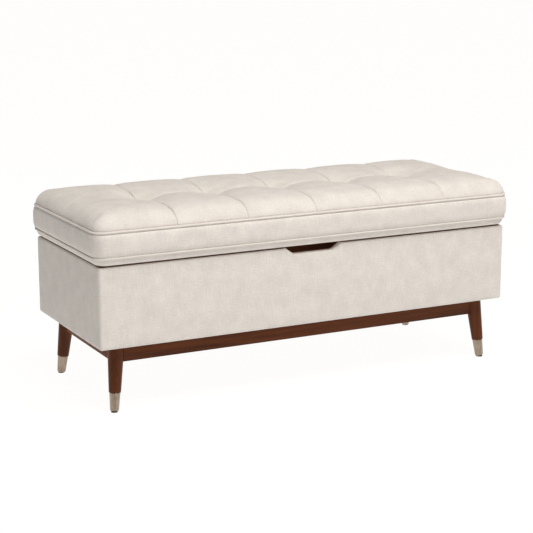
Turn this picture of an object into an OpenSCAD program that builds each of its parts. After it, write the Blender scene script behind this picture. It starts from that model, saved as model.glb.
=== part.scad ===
// Storage ottoman: an upholstered box on a splayed-leg wooden base, with a hinged, tufted lid.
// Origin: on the floor under the middle of the box. X runs to the right, the front faces -Y, Z is up.

/* [Box] */
// Width of the upholstered box, left to right
box_w = 1100; // [880:1:1400]
// Depth of the upholstered box, front to back
box_d = 416; // [340:1:520]
// Height of the upholstered box
box_h = 192; // [160:1:260]
// Thickness of the four plywood walls
wall_t = 15; // [12:1:20]
// Thickness of the plywood floor
floor_t = 12; // [9:1:18]
// Thickness of the foam wrapped round the walls
wrap_foam_t = 5; // [3:0.5:8]
// Thickness of every layer of cloth
cloth_t = 1.5; // [1:0.1:2]
// How far the outer cloth turns in over the top edge of a wall
top_turn = 2; // [1:0.5:4]
// How far the outer cloth turns in under the floor
bottom_turn = 14; // [8:1:20]

/* [Finger notch] */
// Width of the notch along the top edge of the front
notch_top_w = 156; // [120:1:200]
// Width of the notch at its lower edge
notch_low_w = 112; // [70:1:118]
// Depth of the notch below the top edge
notch_depth = 17; // [12:1:30]

/* [Base] */
// Height of the underside of the box above the floor
leg_h = 156; // [125:1:200]
// Distance of a leg's tip in from the end of the box
tip_inset_x = 42; // [36:1:60]
// Distance of a leg's tip in from the front or back of the box
tip_inset_y = 29; // [24:1:45]
// How far a leg leans in along X from tip to top
splay_x = 14; // [8:1:18]
// How far a leg leans in along Y from tip to top
splay_y = 17.5; // [8:0.5:20]
// Diameter of a leg where it meets the box
leg_top_d = 39.5; // [34:0.5:44]
// Diameter of a leg just above its ferrule
leg_low_d = 28.4; // [26:0.1:32]
// Height of the ferrules, from the floor along the leg
ferrule_h = 46; // [30:1:60]
// Diameter of a ferrule at its top
ferrule_top_d = 26; // [23:0.5:26]
// Diameter of a ferrule at its tip
ferrule_tip_d = 21; // [19:0.5:22]
// Wall of a ferrule
ferrule_t = 1.2; // [0.8:0.1:2]
// Height of the rails between the legs
rail_h = 41; // [38:1:55]
// Thickness of the rails
rail_t = 22; // [18:1:26]
// Distance of the side rails in from the ends of the box
rail_inset_x = 46; // [40:1:60]
// Distance of the front and back rails in from the faces of the box
rail_inset_y = 35; // [30:1:45]
// Side length of the corner blocks behind the legs
block_l = 60; // [56:1:75]
// Diameter of the hanger bolts that hold the legs
bolt_d = 8; // [6:1:10]

/* [Lid] */
// Gap between the box and the closed lid
lid_gap = 2; // [1.8:0.1:4]
// Distance of the welts out past the faces of the box
lid_over = 8.5; // [7:0.5:12]
// Distance of the lid's lower edge in from the faces of the box
lid_under = 5; // [3:0.5:7]
// Radius of the lid's corners along the welts
rim_r = 32; // [31:1:50]
// Height of the curved lip under the lower welt
lip_h = 19; // [17:1:26]
// Height of the boxing band between the welts
band_h = 59; // [40:1:80]
// How far the boxing band bulges past the welts
band_bulge = 5.5; // [2:0.5:8]
// Radius of the crown's rounded edge, above the upper welt
crown_edge_r = 30; // [20:1:30]
// Rise of the crown's middle above its rounded edge
crown_rise = 14; // [6:1:24]
// Diameter of the welts
welt_d = 5.5; // [4:0.5:7]
// Thickness of the plywood board in the lid
board_t = 15; // [12:1:16]
// Spacing of the tufts along the lid
tuft_pitch = 180; // [120:1:200]

/* [Hinges and stays] */
// Distance of each hinge from the middle of the box
hinge_x = 370; // [200:1:390]
// Length of a hinge
hinge_l = 60; // [50:1:80]
// Diameter of the hinge knuckles
knuckle_d = 6.5; // [6:0.5:7]
// Diameter of the hinge pins
pin_d = 3; // [2.5:0.5:3]
// Thickness of the hinge leaves
leaf_t = 0.9; // [0.6:0.1:0.9]
// Diameter of the round eyes at the ends of the stay's bars
eye_d = 14; // [12:1:16]
// Width of the stay's bars between their eyes
bar_w = 11; // [8:0.5:11]
// Thickness of the stay's flat bars and plates
bar_t = 2; // [1.5:0.1:2.5]
// Diameter of the stay's rivets
rivet_d = 5; // [4:0.5:6]
// Stay pivot on the box, in front of the lining of the back wall
box_pivot_in = 13; // [12:1:30]
// Stay pivot on the box, below the hinge axis
box_pivot_below = 60; // [50:1:90]
// Stay pivot on the lid, in front of the hinge axis
lid_pivot_forward = 190; // [120:1:200]
// Stay pivot on the lid, below the hinge axis
lid_pivot_below = 14; // [12:1:18]

/* [Fits] */
// Radial clearance of a pivot that turns on its pin
running_gap = 0.05; // [0.02:0.01:0.1]
// Radial clearance of the stay's knee, the pivot that closes the linkage
knee_gap = 0.15; // [0.1:0.01:0.3]
// Side clearance between flat pieces that slide past each other
side_gap = 0.3; // [0.2:0.05:0.4]
// Clearance of the hinge knuckles from the box and from each other's leaf
knuckle_gap = 0.75; // [0.5:0.05:1]
// Clearance of the rubber bumpers under the closed lid
rest_gap = 0.1; // [0.05:0.05:0.3]

/* [Hidden] */
$fn = 48;
CLOTH = [0.87, 0.84, 0.80];
SHADE_CLOTH = [0.80, 0.77, 0.72];
FOAM = [0.93, 0.90, 0.72];
WADDING = [0.95, 0.95, 0.93];
PLYWOOD = [0.78, 0.62, 0.42];
WALNUT = [0.30, 0.14, 0.08];
LINING = [0.17, 0.08, 0.04];
BLACK_CLOTH = [0.08, 0.08, 0.08];
CHAMPAGNE = [0.78, 0.72, 0.64];
STEEL = [0.66, 0.66, 0.68];
NYLON = [0.16, 0.15, 0.14];

// Box levels and half sizes
wrap_t = wrap_foam_t + cloth_t;
half_w = box_w / 2;
half_d = box_d / 2;
box_top = leg_h + box_h;
panel_half_w = half_w - wrap_t;
panel_half_d = half_d - wrap_t;
panel_low = leg_h + cloth_t;
panel_top = box_top - cloth_t;
panel_h = panel_top - panel_low;
hollow_half_w = panel_half_w - wall_t;
hollow_half_d = panel_half_d - wall_t;
bay_half_w = hollow_half_w - cloth_t;
bay_half_d = hollow_half_d - cloth_t;
floor_top = panel_low + floor_t;
spare = 1;

// Base
tip_x = half_w - tip_inset_x;
tip_y = half_d - tip_inset_y;
leg_top_x = tip_x - splay_x;
leg_top_y = tip_y - splay_y;
lean = atan2(norm([splay_x, splay_y]), leg_h);
heading = atan2(-splay_y, -splay_x);
leg_l = norm([splay_x, splay_y, leg_h]);
leg_run_on = 8;
leg_end_d = leg_top_d + (leg_top_d - leg_low_d) * leg_run_on / (leg_l - ferrule_h);
glide_t = 2.5;
glide_d = 16;
glide_stem_d = 6;
glide_stem_l = 6;
ferrule_floor_t = 3;
ferrule_round_r = 3;
rail_face_x = half_w - rail_inset_x;
rail_face_y = half_d - rail_inset_y;
rail_inner_x = rail_face_x - rail_t;
rail_inner_y = rail_face_y - rail_t;
rail_end_gap = 6;
centre_rail_h = 35;
block_h = 36;
bolt_drop = 20;
bolt_grip = 24;
bolt_out = 12;
nut_w = 13;
nut_t = 6.5;
washer_d = 18;
washer_t = 1.5;
frame_screw_l = 45;
frame_screw_d = 4;
frame_screw_head_d = 8;
block_screw_near = 12;
block_screw_far = 36;
centre_screw_y = 100;

// Screws of the box
panel_screw_l = 40;
panel_screw_d = 3.5;
panel_screw_head_d = 7;
panel_screw_levels = [0.25, 0.5, 0.75];
floor_screw_share = 0.6;

// Lid levels, with rim_x and rim_y the centres of its rounded corners
lid_low = box_top + lid_gap;
welt_low_z = lid_low + lip_h;
welt_top_z = welt_low_z + band_h;
crown_edge_z = welt_top_z + crown_edge_r;
lid_top = crown_edge_z + crown_rise;
rim_x = half_w + lid_over - rim_r;
rim_y = half_d + lid_over - rim_r;
rise_run = 90;
rise_chord = norm([rise_run, crown_rise]);
rise_radius = rise_chord * rise_chord / (2 * crown_rise);
rise_sag = rise_radius - sqrt(rise_radius * rise_radius - rise_chord * rise_chord / 4);
lip_u = rim_r - lid_over - lid_under;
lip_sag = 4;
board_edge_gap = 1;
board_u = lip_u - cloth_t - board_edge_gap;
board_low = lid_low + cloth_t;
lip_turn = 8;
curve_steps = 8;
lip_line = bow([lip_u, lid_low], [rim_r, welt_low_z], lip_sag);
band_line = bow([rim_r, welt_low_z], [rim_r, welt_top_z], band_bulge);
tuft_columns = [-2:2];
tie_d = 2;
bumper_d = 10;
bumper_in = 20;

// Hinges: the axis lies in the groove behind the closed seam
hinge_y = half_d + knuckle_d / 2 + knuckle_gap;
hinge_z = box_top + lid_gap / 2;
hinge_screw_y = panel_half_d - wall_t / 2;
leaf_margin = 4;
leaf_front_y = hinge_screw_y - leaf_margin;
knuckle_count = 5;
knuckle_l = hinge_l / knuckle_count;
knuckle_end_gap = 0.2;
pin_head_d = 5;
pin_head_t = 1;
hinge_screw_l = 13;
hinge_screw_d = 2.5;
hinge_screw_head_d = 4;
box_screw_spacing = 20;
lid_screw_spacing = 24;

// Stays: places are [forward, up] from the hinge axis, depths are inwards from the lining
box_pivot = [hinge_y - bay_half_d + box_pivot_in, -box_pivot_below];
lid_pivot = [lid_pivot_forward, -lid_pivot_below];
knee = box_pivot + lid_pivot;
arm_depth = bar_t + side_gap;
link_depth = arm_depth + bar_t + side_gap;
link_face = link_depth + bar_t;
rivet_head_d = 10;
rivet_head_t = 1.5;
rivet_play = 0.2;
plate_w = 36;
plate_back = 11;
plate_h = 56;
plate_screw_up = 20;
stay_screw_l = 13;
stay_screw_d = 3.5;
stay_screw_head_d = 6.5;
flange_l = 46;
flange_w = 24;
flange_screw_spacing = 30;
flange_screw_in = 12;

// ---- Shared shapes ----

// Puts a piece made for the right back quarter on the side that the signs name
module on_side(side_x, side_y) {
    mirror([side_x < 0 ? 1 : 0, 0, 0])
        mirror([0, side_y < 0 ? 1 : 0, 0])
            children();
}

// One copy in each corner
module in_corners() {
    for (side_x = [-1, 1], side_y = [-1, 1]) {
        on_side(side_x, side_y) children();
    }
}

// One copy on each end
module on_ends() {
    for (side_x = [-1, 1]) {
        on_side(side_x, 1) children();
    }
}

// A block centred on X and Y, from its half sizes and its levels
module centred_block(half_x, half_y, low, high) {
    translate([-half_x, -half_y, low]) cube([2 * half_x, 2 * half_y, high - low]);
}

// A plate with rounded corners of radius u about the corner centres
module rounded_plate(half_x, half_y, u, low, high) {
    translate([0, 0, low]) linear_extrude(high - low) {
        square([2 * half_x, 2 * (half_y + u)], center = true);
        square([2 * (half_x + u), 2 * half_y], center = true);
        for (side_x = [-1, 1], side_y = [-1, 1]) {
            translate([side_x * half_x, side_y * half_y]) circle(r = u);
        }
    }
}

// Carries a profile round a rounded rectangle: the profile's x is the distance out from the
// corner centres and its y is the height
module around(half_x, half_y) {
    for (side = [-1, 1]) {
        on_side(1, side) translate([0, half_y, 0]) rotate([90, 0, 90])
            linear_extrude(2 * half_x, center = true) children();
        on_side(side, 1) translate([half_x, 0, 0]) rotate([90, 0, 0])
            linear_extrude(2 * half_y, center = true) children();
    }
    in_corners() translate([half_x, half_y, 0]) rotate_extrude(angle = 90) children();
}

// Points of an arc from p to q that bulges to the right of the way from p to q by sag
function bow(p, q, sag) =
    let (
        chord = norm(q - p),
        along = (q - p) / chord,
        out = [along[1], -along[0]],
        radius = (chord * chord / 4 + sag * sag) / (2 * sag),
        centre = (p + q) / 2 - out * (radius - sag),
        half_angle = asin(chord / 2 / radius)
    )
    [for (i = [0:curve_steps])
        let (a = half_angle * (2 * i / curve_steps - 1))
        centre + radius * (cos(a) * out + sin(a) * along)];

function moved_in(points, t) = [for (p = points) [p[0] - t, p[1]]];
function backwards(points) = [for (i = [len(points) - 1:-1:0]) points[i]];

// A strip of cloth whose outer face is the given line
module cloth_strip(points) {
    polygon(concat(points, backwards(moved_in(points, cloth_t))));
}

// A countersunk screw: its head is flush with the origin and its point is towards -Z
module screw(length, shank_d, head_d) {
    head_h = (head_d - shank_d) / 2;
    translate([0, 0, -head_h]) cylinder(h = head_h, d1 = shank_d, d2 = head_d);
    translate([0, 0, -length]) cylinder(h = length - head_h, d = shank_d);
}

// ---- Base ----

// Stands a piece made along +Z on the axis of the right back leg, from its tip
module on_leg_axis() {
    translate([tip_x, tip_y, 0]) rotate([0, lean, heading]) children();
}

// The tapered wood of a leg above its ferrule
module leg_shank() {
    intersection() {
        on_leg_axis() translate([0, 0, ferrule_h])
            cylinder(h = leg_l + leg_run_on - ferrule_h, d1 = leg_low_d, d2 = leg_end_d);
        cube([half_w, half_d, leg_h]);
    }
}

// The turned end of a leg that fills its ferrule
module leg_tenon() {
    on_leg_axis() translate([0, 0, glide_t + ferrule_floor_t])
        cylinder(
            h = ferrule_h - glide_t - ferrule_floor_t,
            d1 = ferrule_tip_d - 2 * ferrule_t,
            d2 = ferrule_top_d - 2 * ferrule_t
        );
}

module leg() {
    color(WALNUT) difference() {
        union() {
            leg_shank();
            leg_tenon();
        }
        hanger_bolt();
        on_leg_axis() glide_stem();
    }
}

module ferrule() {
    color(CHAMPAGNE) difference() {
        on_leg_axis() rotate_extrude() {
            translate([0, glide_t]) square([ferrule_tip_d / 2 - ferrule_round_r, ferrule_round_r]);
            translate([ferrule_tip_d / 2 - ferrule_round_r, glide_t + ferrule_round_r])
                circle(r = ferrule_round_r);
            polygon([
                [0, glide_t + ferrule_round_r],
                [ferrule_tip_d / 2, glide_t + ferrule_round_r],
                [ferrule_top_d / 2, ferrule_h],
                [0, ferrule_h]
            ]);
        }
        leg_tenon();
        on_leg_axis() glide_stem();
    }
}

module glide_stem() {
    cylinder(h = glide_t + glide_stem_l, d = glide_stem_d);
}

// Nylon glides under the ferrules, cut level where they meet the floor
module foot_glides() {
    color(NYLON) in_corners() intersection() {
        on_leg_axis() union() {
            translate([0, 0, -glide_t]) cylinder(h = 2 * glide_t, d = glide_d);
            glide_stem();
        }
        cube([half_w, half_d, leg_h]);
    }
}

// The square-ended bar that a front or back rail is cut from
module long_rail_bar() {
    end_x = leg_top_x - rail_end_gap;
    translate([-end_x, rail_inner_y, leg_h - rail_h]) cube([2 * end_x, rail_t, rail_h]);
}

module long_rail() {
    color(WALNUT) difference() {
        long_rail_bar();
        on_ends() leg_shank();
        on_ends() hanger_bolt();
    }
}

module side_rail() {
    end_y = leg_top_y - rail_end_gap;
    color(WALNUT) difference() {
        translate([rail_inner_x, -end_y, leg_h - rail_h]) cube([rail_t, 2 * end_y, rail_h]);
        for (side_y = [-1, 1]) {
            on_side(1, side_y) leg_shank();
            on_side(1, side_y) long_rail_bar();
            on_side(1, side_y) hanger_bolt();
        }
    }
}

module centre_rail() {
    color(WALNUT) difference() {
        centred_block(rail_t / 2, rail_inner_y, leg_h - centre_rail_h, leg_h);
        frame_screws();
    }
}

// Wooden blocks glued into the corners of the rails
module corner_blocks() {
    color(PLYWOOD) difference() {
        in_corners() difference() {
            translate([rail_inner_x, rail_inner_y, leg_h - block_h]) linear_extrude(block_h)
                polygon([[0, 0], [-block_l, 0], [0, -block_l]]);
            leg_shank();
            hanger_bolt();
        }
        frame_screws();
    }
}

// Runs a piece made along +Z from the rails' inner corner out through the corner block
module on_bolt_axis() {
    translate([rail_inner_x, rail_inner_y, leg_h - bolt_drop]) rotate([0, 90, 225]) children();
}

module hanger_bolt() {
    on_bolt_axis() translate([0, 0, -bolt_grip])
        cylinder(h = bolt_grip + block_l / sqrt(2) + bolt_out, d = bolt_d);
}

module hanger_bolts() {
    color(STEEL) in_corners() hanger_bolt();
}

module bolt_nuts() {
    color(STEEL) in_corners() difference() {
        on_bolt_axis() translate([0, 0, block_l / sqrt(2)]) union() {
            cylinder(h = washer_t, d = washer_d);
            translate([0, 0, washer_t]) cylinder(h = nut_t, d = nut_w / cos(30), $fn = 6);
        }
        hanger_bolt();
    }
}

// Screws that hold the base to the floor of the box
module frame_screws() {
    color(STEEL) {
        in_corners() {
            for (place = [[block_screw_near, block_screw_far], [block_screw_far, block_screw_near]]) {
                translate([rail_inner_x - place[0], rail_inner_y - place[1], leg_h - block_h])
                    rotate([180, 0, 0]) screw(frame_screw_l, frame_screw_d, frame_screw_head_d);
            }
        }
        for (side = [-1, 1]) {
            translate([0, side * centre_screw_y, leg_h - centre_rail_h])
                rotate([180, 0, 0]) screw(frame_screw_l, frame_screw_d, frame_screw_head_d);
        }
    }
}

// ---- Box ----

// The tapered notch for the fingers in the top edge of the front
module notch_cut() {
    translate([0, -bay_half_d + spare, 0]) rotate([90, 0, 0])
        linear_extrude(half_d - bay_half_d + 2 * spare)
            polygon([
                [-notch_low_w / 2, box_top - notch_depth],
                [notch_low_w / 2, box_top - notch_depth],
                [notch_top_w / 2, box_top],
                [notch_top_w / 2, box_top + spare],
                [-notch_top_w / 2, box_top + spare],
                [-notch_top_w / 2, box_top]
            ]);
}

// The walls' outer block, grown by a soft layer with rounded edges
module soft_block(grow) {
    centred_block(
        panel_half_w, panel_half_d,
        leg_h + wrap_t - grow, box_top - wrap_t + grow
    );
    around(panel_half_w, panel_half_d) soft_edge(grow);
}

module soft_edge(grow) {
    translate([0, leg_h + wrap_t]) square([grow, box_h - 2 * wrap_t]);
    for (level = [leg_h + wrap_t, box_top - wrap_t]) {
        intersection() {
            translate([0, level]) circle(r = grow);
            translate([0, leg_h]) square([grow, box_h]);
        }
    }
}

module long_wall() {
    translate([-panel_half_w, panel_half_d - wall_t, panel_low])
        cube([2 * panel_half_w, wall_t, panel_h]);
}

module end_wall() {
    difference() {
        translate([panel_half_w - wall_t, -hollow_half_d, panel_low])
            cube([wall_t, 2 * hollow_half_d, panel_h]);
        panel_screws();
        box_hardware_screws();
    }
}

module front_panel() {
    color(PLYWOOD) difference() {
        on_side(1, -1) long_wall();
        notch_cut();
        panel_screws();
    }
}

module back_panel() {
    color(PLYWOOD) difference() {
        long_wall();
        panel_screws();
        box_hardware_screws();
    }
}

module bottom_panel() {
    color(PLYWOOD) difference() {
        centred_block(hollow_half_w, hollow_half_d, panel_low, floor_top);
        panel_screws();
        frame_screws();
    }
}

// Screws through the front and back walls into the end walls and the floor
module panel_screws() {
    floor_screw_x = floor_screw_share * panel_half_w;
    color(STEEL) for (side_y = [-1, 1]) on_side(1, side_y) {
        for (side_x = [-1, 1], level = panel_screw_levels) {
            translate([side_x * (panel_half_w - wall_t / 2), panel_half_d, panel_low + level * panel_h])
                rotate([-90, 0, 0]) screw(panel_screw_l, panel_screw_d, panel_screw_head_d);
        }
        for (x = [-floor_screw_x, 0, floor_screw_x]) {
            translate([x, panel_half_d, panel_low + floor_t / 2])
                rotate([-90, 0, 0]) screw(panel_screw_l, panel_screw_d, panel_screw_head_d);
        }
    }
}

// Foam on the front or back wall
module long_padding() {
    translate([0, panel_half_d, 0]) rotate([90, 0, 90])
        linear_extrude(2 * panel_half_w, center = true) soft_edge(wrap_foam_t);
}

// Foam on an end wall, with the foam round its two corners
module end_padding() {
    translate([panel_half_w, 0, 0]) rotate([90, 0, 0])
        linear_extrude(2 * panel_half_d, center = true) soft_edge(wrap_foam_t);
    for (side_y = [-1, 1]) {
        on_side(1, side_y) translate([panel_half_w, panel_half_d, 0])
            rotate_extrude(angle = 90) soft_edge(wrap_foam_t);
    }
}

module front_padding() {
    color(FOAM) difference() {
        on_side(1, -1) long_padding();
        notch_cut();
    }
}

module back_padding() {
    color(FOAM) long_padding();
}

// The outer cloth, turned in over the walls and under the floor
module box_cover() {
    color(CLOTH) difference() {
        soft_block(wrap_t);
        soft_block(wrap_foam_t);
        centred_block(
            panel_half_w - top_turn, panel_half_d - top_turn,
            panel_top - spare, box_top + spare
        );
        centred_block(
            panel_half_w - bottom_turn, panel_half_d - bottom_turn,
            leg_h - spare, panel_low + spare
        );
        notch_cut();
    }
}

// The dark cloth that lines the inside and covers the top edges of the walls
module storage_lining() {
    color(LINING) difference() {
        union() {
            centred_block(hollow_half_w, hollow_half_d, floor_top, box_top);
            centred_block(
                panel_half_w - top_turn, panel_half_d - top_turn,
                panel_top, box_top
            );
        }
        centred_block(bay_half_w, bay_half_d, floor_top + cloth_t, box_top + spare);
        notch_cut();
        box_hardware_screws();
    }
}

// The black cloth under the floor
module dust_cover() {
    color(BLACK_CLOTH) difference() {
        centred_block(panel_half_w - bottom_turn, panel_half_d - bottom_turn, leg_h, panel_low);
        frame_screws();
    }
}

// Rubber discs on the wall tops that take the weight of the closed lid
module lid_bumpers() {
    color(NYLON) in_corners() translate([bay_half_w - bumper_in, hinge_screw_y, box_top])
        cylinder(h = lid_gap - rest_gap, d = bumper_d);
}

// ---- Lid ----

module welt_section(level) {
    translate([rim_r, level]) circle(d = welt_d);
}

module welt(level) {
    color(CLOTH) around(rim_x, rim_y) welt_section(level);
}

module lid_board() {
    color(PLYWOOD) difference() {
        rounded_plate(rim_x, rim_y, board_u, board_low, board_low + board_t);
        tuft_ties();
        lid_hardware_screws();
    }
}

// The seat foam, with a recess for the board
module seat_foam() {
    foam_lip = [for (p = moved_in(lip_line, cloth_t)) if (p[1] > board_low) p];
    color(FOAM) difference() {
        union() {
            centred_block(rim_x, rim_y, board_low, welt_top_z);
            around(rim_x, rim_y) difference() {
                polygon(concat(
                    [[0, board_low], [lip_u - cloth_t, board_low]],
                    foam_lip,
                    moved_in(band_line, cloth_t),
                    [[0, welt_top_z]]
                ));
                welt_section(welt_low_z);
                welt_section(welt_top_z);
            }
        }
        rounded_plate(rim_x, rim_y, board_u, board_low - spare, board_low + board_t);
        tuft_ties();
    }
}

// Section of the crown's rounded edge, for a layer that ends depth inside the cloth's face
module crown_edge_section(depth) {
    translate([0, welt_top_z]) square([rim_r - crown_edge_r, crown_edge_r - depth]);
    intersection() {
        translate([rim_r - crown_edge_r, welt_top_z]) circle(r = crown_edge_r - depth);
        translate([0, welt_top_z]) square([rim_r, crown_edge_r]);
    }
}

// The rise of the crown inside its rounded edge, from the level low to depth inside the
// cloth's face
module crown_middle(low, depth) {
    centred_block(rim_x - rise_run, rim_y - rise_run, low, lid_top - depth);
    around(rim_x - rise_run, rim_y - rise_run) polygon(concat(
        [[0, low], [rise_run, low]],
        bow([rise_run, crown_edge_z - depth], [0, lid_top - depth], rise_sag)
    ));
}

// Polyester wadding between the foam and the top cover
module top_batting() {
    color(WADDING) difference() {
        union() {
            centred_block(rim_x, rim_y, welt_top_z, crown_edge_z - cloth_t);
            crown_middle(welt_top_z, cloth_t);
            around(rim_x, rim_y) difference() {
                crown_edge_section(cloth_t);
                welt_section(welt_top_z);
            }
        }
        tuft_ties();
    }
}

// The tufted top cloth, here with its outer size and crown only
module top_cover() {
    color(CLOTH) {
        difference() {
            union() {
                centred_block(rim_x, rim_y, crown_edge_z - cloth_t, crown_edge_z);
                crown_middle(crown_edge_z - cloth_t, 0);
            }
            crown_middle(welt_top_z, cloth_t);
        }
        around(rim_x, rim_y) difference() {
            crown_edge_section(0);
            crown_edge_section(cloth_t);
            welt_section(welt_top_z);
        }
    }
}

// The band of cloth between the two welts
module boxing_band() {
    color(CLOTH) around(rim_x, rim_y) difference() {
        cloth_strip(band_line);
        welt_section(welt_low_z);
        welt_section(welt_top_z);
    }
}

// The cloth under the lower welt, turned in under the board
module lip_band() {
    color(SHADE_CLOTH) difference() {
        union() {
            around(rim_x, rim_y) difference() {
                cloth_strip(lip_line);
                welt_section(welt_low_z);
            }
            rounded_plate(rim_x, rim_y, lip_u, lid_low, board_low);
        }
        centred_block(rim_x - lip_turn, rim_y - lip_turn, lid_low - spare, board_low + spare);
        lid_hardware_screws();
    }
}

// The dark cloth under the board
module lid_lining() {
    color(LINING) difference() {
        centred_block(rim_x - lip_turn, rim_y - lip_turn, lid_low, board_low);
        lid_hardware_screws();
    }
}

// Twine that pulls the tufts down to the board
module tuft_ties() {
    color(WADDING) for (column = tuft_columns) {
        translate([column * tuft_pitch, 0, board_low])
            cylinder(h = lid_top - cloth_t - board_low, d = tie_d);
    }
}

// ---- Hinges ----

// Puts a piece made along X about the hinge axis at the right hinge
module at_hinge() {
    translate([hinge_x, hinge_y, hinge_z]) children();
}

module along_x(length, d) {
    rotate([0, 90, 0]) cylinder(h = length, d = d, center = true);
}

// Every second knuckle from the first, each with its own diameter and length
module knuckles(first, d, length) {
    for (i = [first:2:knuckle_count - 1]) {
        translate([(i + 0.5) * knuckle_l - hinge_l / 2, 0, 0]) along_x(length, d);
    }
}

// A leaf whose plate lies between two levels above the axis; own is its first knuckle and
// other is the first knuckle of the leaf that it works with
module hinge_leaf(low, high, own, other, bore_d) {
    plate_l = hinge_y - leaf_front_y;
    at_hinge() difference() {
        union() {
            translate([-hinge_l / 2, -plate_l, low]) cube([hinge_l, plate_l, high - low]);
            knuckles(own, knuckle_d, knuckle_l - knuckle_end_gap);
        }
        along_x(hinge_l + spare, bore_d);
        knuckles(other, knuckle_d + knuckle_gap, knuckle_l + knuckle_end_gap);
    }
}

module hinge_box_leaf() {
    color(STEEL) difference() {
        hinge_leaf(-lid_gap / 2, leaf_t - lid_gap / 2, 0, 1, pin_d);
        box_hardware_screws();
    }
}

module hinge_lid_leaf() {
    color(STEEL) difference() {
        hinge_leaf(lid_gap / 2 - leaf_t, lid_gap / 2, 1, 0, pin_d + 2 * running_gap);
        lid_hardware_screws();
    }
}

module hinge_pins() {
    color(STEEL) on_ends() at_hinge() union() {
        along_x(hinge_l, pin_d);
        for (side = [-1, 1]) {
            translate([side * (hinge_l + pin_head_t) / 2, 0, 0]) along_x(pin_head_t, pin_head_d);
        }
    }
}

// ---- Lid stays ----

// Places a piece drawn with x forward and y up from the hinge axis, and z inwards from the
// lining of the right wall
module on_wall() {
    translate([bay_half_w, hinge_y, hinge_z]) rotate([90, 0, -90]) children();
}

module disc(place, depth, length, d) {
    translate([place[0], place[1], depth]) cylinder(h = length, d = d);
}

// A flat bar with a round eye at each end, from p to q
module bar(p, q, depth) {
    run = q - p;
    translate([0, 0, depth]) linear_extrude(bar_t) {
        translate(p) circle(d = eye_d);
        translate(q) circle(d = eye_d);
        translate(p) rotate(atan2(run[1], run[0])) translate([0, -bar_w / 2])
            square([norm(run), bar_w]);
    }
}

module stay_arm() {
    color(STEEL) on_wall() difference() {
        bar(box_pivot, knee, arm_depth);
        disc(box_pivot, 0, link_face, rivet_d + 2 * running_gap);
        disc(knee, 0, link_face, rivet_d + 2 * knee_gap);
    }
}

module stay_link() {
    color(STEEL) on_wall() difference() {
        bar(lid_pivot, knee, link_depth);
        disc(lid_pivot, 0, link_face + spare, rivet_d + 2 * running_gap);
        disc(knee, 0, link_face + spare, rivet_d);
    }
}

// The plates screwed to the end walls, with the lower pivots
module stay_box_plates() {
    color(STEEL) on_ends() difference() {
        on_wall() difference() {
            translate([box_pivot[0] - plate_back, box_pivot[1] - plate_h / 2, 0])
                cube([plate_w, plate_h, bar_t]);
            disc(box_pivot, -spare, bar_t + 2 * spare, rivet_d);
        }
        box_hardware_screws();
    }
}

// The angle brackets screwed under the lid, with the upper pivots
module stay_lid_brackets() {
    lid_face = lid_gap / 2;
    color(STEEL) on_ends() difference() {
        on_wall() difference() {
            union() {
                translate([lid_pivot[0] - flange_l / 2, lid_face - bar_t, arm_depth])
                    cube([flange_l, bar_t, flange_w]);
                translate([lid_pivot[0] - bar_w / 2, lid_pivot[1], arm_depth])
                    cube([bar_w, lid_face - lid_pivot[1], bar_t]);
                disc(lid_pivot, arm_depth, bar_t, eye_d);
            }
            disc(lid_pivot, 0, link_face, rivet_d);
        }
        lid_hardware_screws();
    }
}

module stay_box_rivets() {
    shank_l = arm_depth + bar_t + rivet_play;
    color(STEEL) on_ends() on_wall() union() {
        disc(box_pivot, 0, shank_l, rivet_d);
        disc(box_pivot, shank_l, rivet_head_t, rivet_head_d);
    }
}

module stay_lid_rivets() {
    color(STEEL) on_ends() on_wall() union() {
        disc(lid_pivot, arm_depth, link_face + rivet_play - arm_depth, rivet_d);
        disc(lid_pivot, arm_depth - rivet_head_t, rivet_head_t, rivet_head_d);
        disc(lid_pivot, link_face + rivet_play, rivet_head_t, rivet_head_d);
    }
}

module knee_rivet() {
    head_depth = arm_depth - rivet_play;
    color(STEEL) on_wall() union() {
        disc(knee, head_depth, link_face - head_depth, rivet_d);
        disc(knee, head_depth - rivet_head_t, rivet_head_t, rivet_head_d);
        disc(knee, link_face, rivet_head_t, rivet_head_d);
    }
}

// ---- Screws of the hinges and stays ----

module box_hardware_screws() {
    color(STEEL) on_ends() {
        for (x = [-box_screw_spacing, 0, box_screw_spacing]) {
            translate([hinge_x + x, hinge_screw_y, box_top + leaf_t])
                screw(hinge_screw_l, hinge_screw_d, hinge_screw_head_d);
        }
        for (up = [-plate_screw_up, plate_screw_up]) {
            on_wall() translate([box_pivot[0], box_pivot[1] + up, bar_t])
                screw(stay_screw_l, stay_screw_d, stay_screw_head_d);
        }
    }
}

module lid_hardware_screws() {
    color(STEEL) on_ends() {
        for (x = [-lid_screw_spacing, 0, lid_screw_spacing]) {
            translate([hinge_x + x, hinge_screw_y, lid_low - leaf_t])
                rotate([180, 0, 0]) screw(hinge_screw_l, hinge_screw_d, hinge_screw_head_d);
        }
        for (forward = [-flange_screw_spacing / 2, flange_screw_spacing / 2]) {
            on_wall() translate([
                lid_pivot[0] + forward, lid_gap / 2 - bar_t, arm_depth + flange_screw_in
            ])
                rotate([90, 0, 0]) screw(stay_screw_l, stay_screw_d, stay_screw_head_d);
        }
    }
}

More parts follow.
